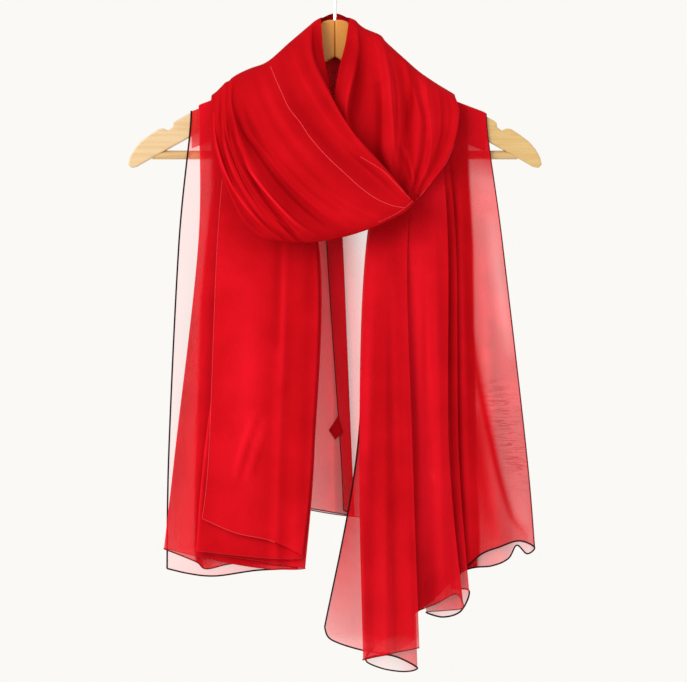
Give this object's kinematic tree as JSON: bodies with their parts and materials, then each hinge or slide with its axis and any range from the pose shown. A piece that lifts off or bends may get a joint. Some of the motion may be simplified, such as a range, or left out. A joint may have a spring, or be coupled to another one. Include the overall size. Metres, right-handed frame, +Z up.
{
  "type": "scarf on a coat hanger",
  "caption": "Long sheer scarf wound once round a wooden coat hanger as a cowl, with folded tails hanging over both arms and one behind.",
  "frame": {"origin": "where a rail touches the top of the hook's inside", "axes": "+Z up, +X to the viewer's right along the arms, -Y towards the front of the scarf"},
  "size_m": [0.446, 0.1095, 0.7629],
  "materials": {
    "red_chiffon": "soft, sheer, slightly crinkled",
    "pale_wood": "clear satin lacquer",
    "chrome_wire": "polished"
  },
  "bodies": {
    "root": {"arm_left": "pale_wood", "arm_right": "pale_wood", "bar": "pale_wood", "hook": "chrome_wire", "neck_back": "red_chiffon", "cowl_front": "red_chiffon", "cowl_right": "red_chiffon", "tail_left": "red_chiffon", "tail_right_front": "red_chiffon", "tail_right_side": "red_chiffon", "tail_back": "red_chiffon", "hem_tab": "red_chiffon"}
  },
  "joints": []
}
